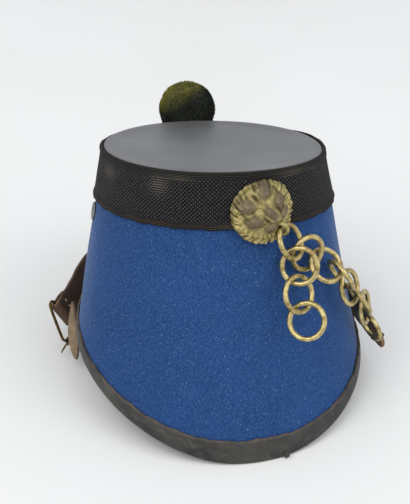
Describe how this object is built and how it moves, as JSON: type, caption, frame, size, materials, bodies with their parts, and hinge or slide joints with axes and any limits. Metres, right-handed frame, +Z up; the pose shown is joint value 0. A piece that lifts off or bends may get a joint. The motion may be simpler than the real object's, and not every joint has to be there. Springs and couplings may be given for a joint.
{
  "type": "shako hat",
  "caption": "Tall cloth shako leaning forward, leather top, woven band, pompom, lion boss with ring chain, buckled chin strap and leather peak.",
  "frame": {"origin": "middle of the bounding box in X and Y, on the surface the hat rests on", "axes": "+Z up; the front of the hat with the peak faces -Y; the wearer's left side is +X"},
  "size_m": [0.198, 0.234, 0.1552],
  "materials": {
    "blue_cloth": "woven wool cloth",
    "top_leather": "semi-gloss grey",
    "dark_braid": "woven braid",
    "dark_leather": "worn",
    "peak_leather": "polished",
    "green_wool": "wool tufts",
    "dull_steel": "dull",
    "gilt_brass": "worn gilt",
    "aged_brass": "dark patina",
    "strap_leather": "worn brown",
    "suede": "suede"
  },
  "bodies": {
    "root": {"crown": "blue_cloth", "crown_top": "top_leather", "top_band": "dark_braid", "rim_binding": "dark_leather", "peak": "peak_leather", "pompom": "green_wool", "pompom_stem": "dull_steel", "vent_eyelet": "dull_steel", "lion_boss": "gilt_brass", "chin_strap": "strap_leather", "buckle_frame": "aged_brass", "buckle_tongue": "aged_brass", "buckle_tab": "suede", "ring_01": "gilt_brass", "ring_02": "gilt_brass", "ring_03": "gilt_brass", "ring_04": "gilt_brass", "ring_05": "gilt_brass", "ring_06": "gilt_brass", "ring_07": "gilt_brass", "ring_08": "gilt_brass", "ring_09": "gilt_brass", "ring_10": "gilt_brass", "ring_11": "gilt_brass"}
  },
  "joints": []
}
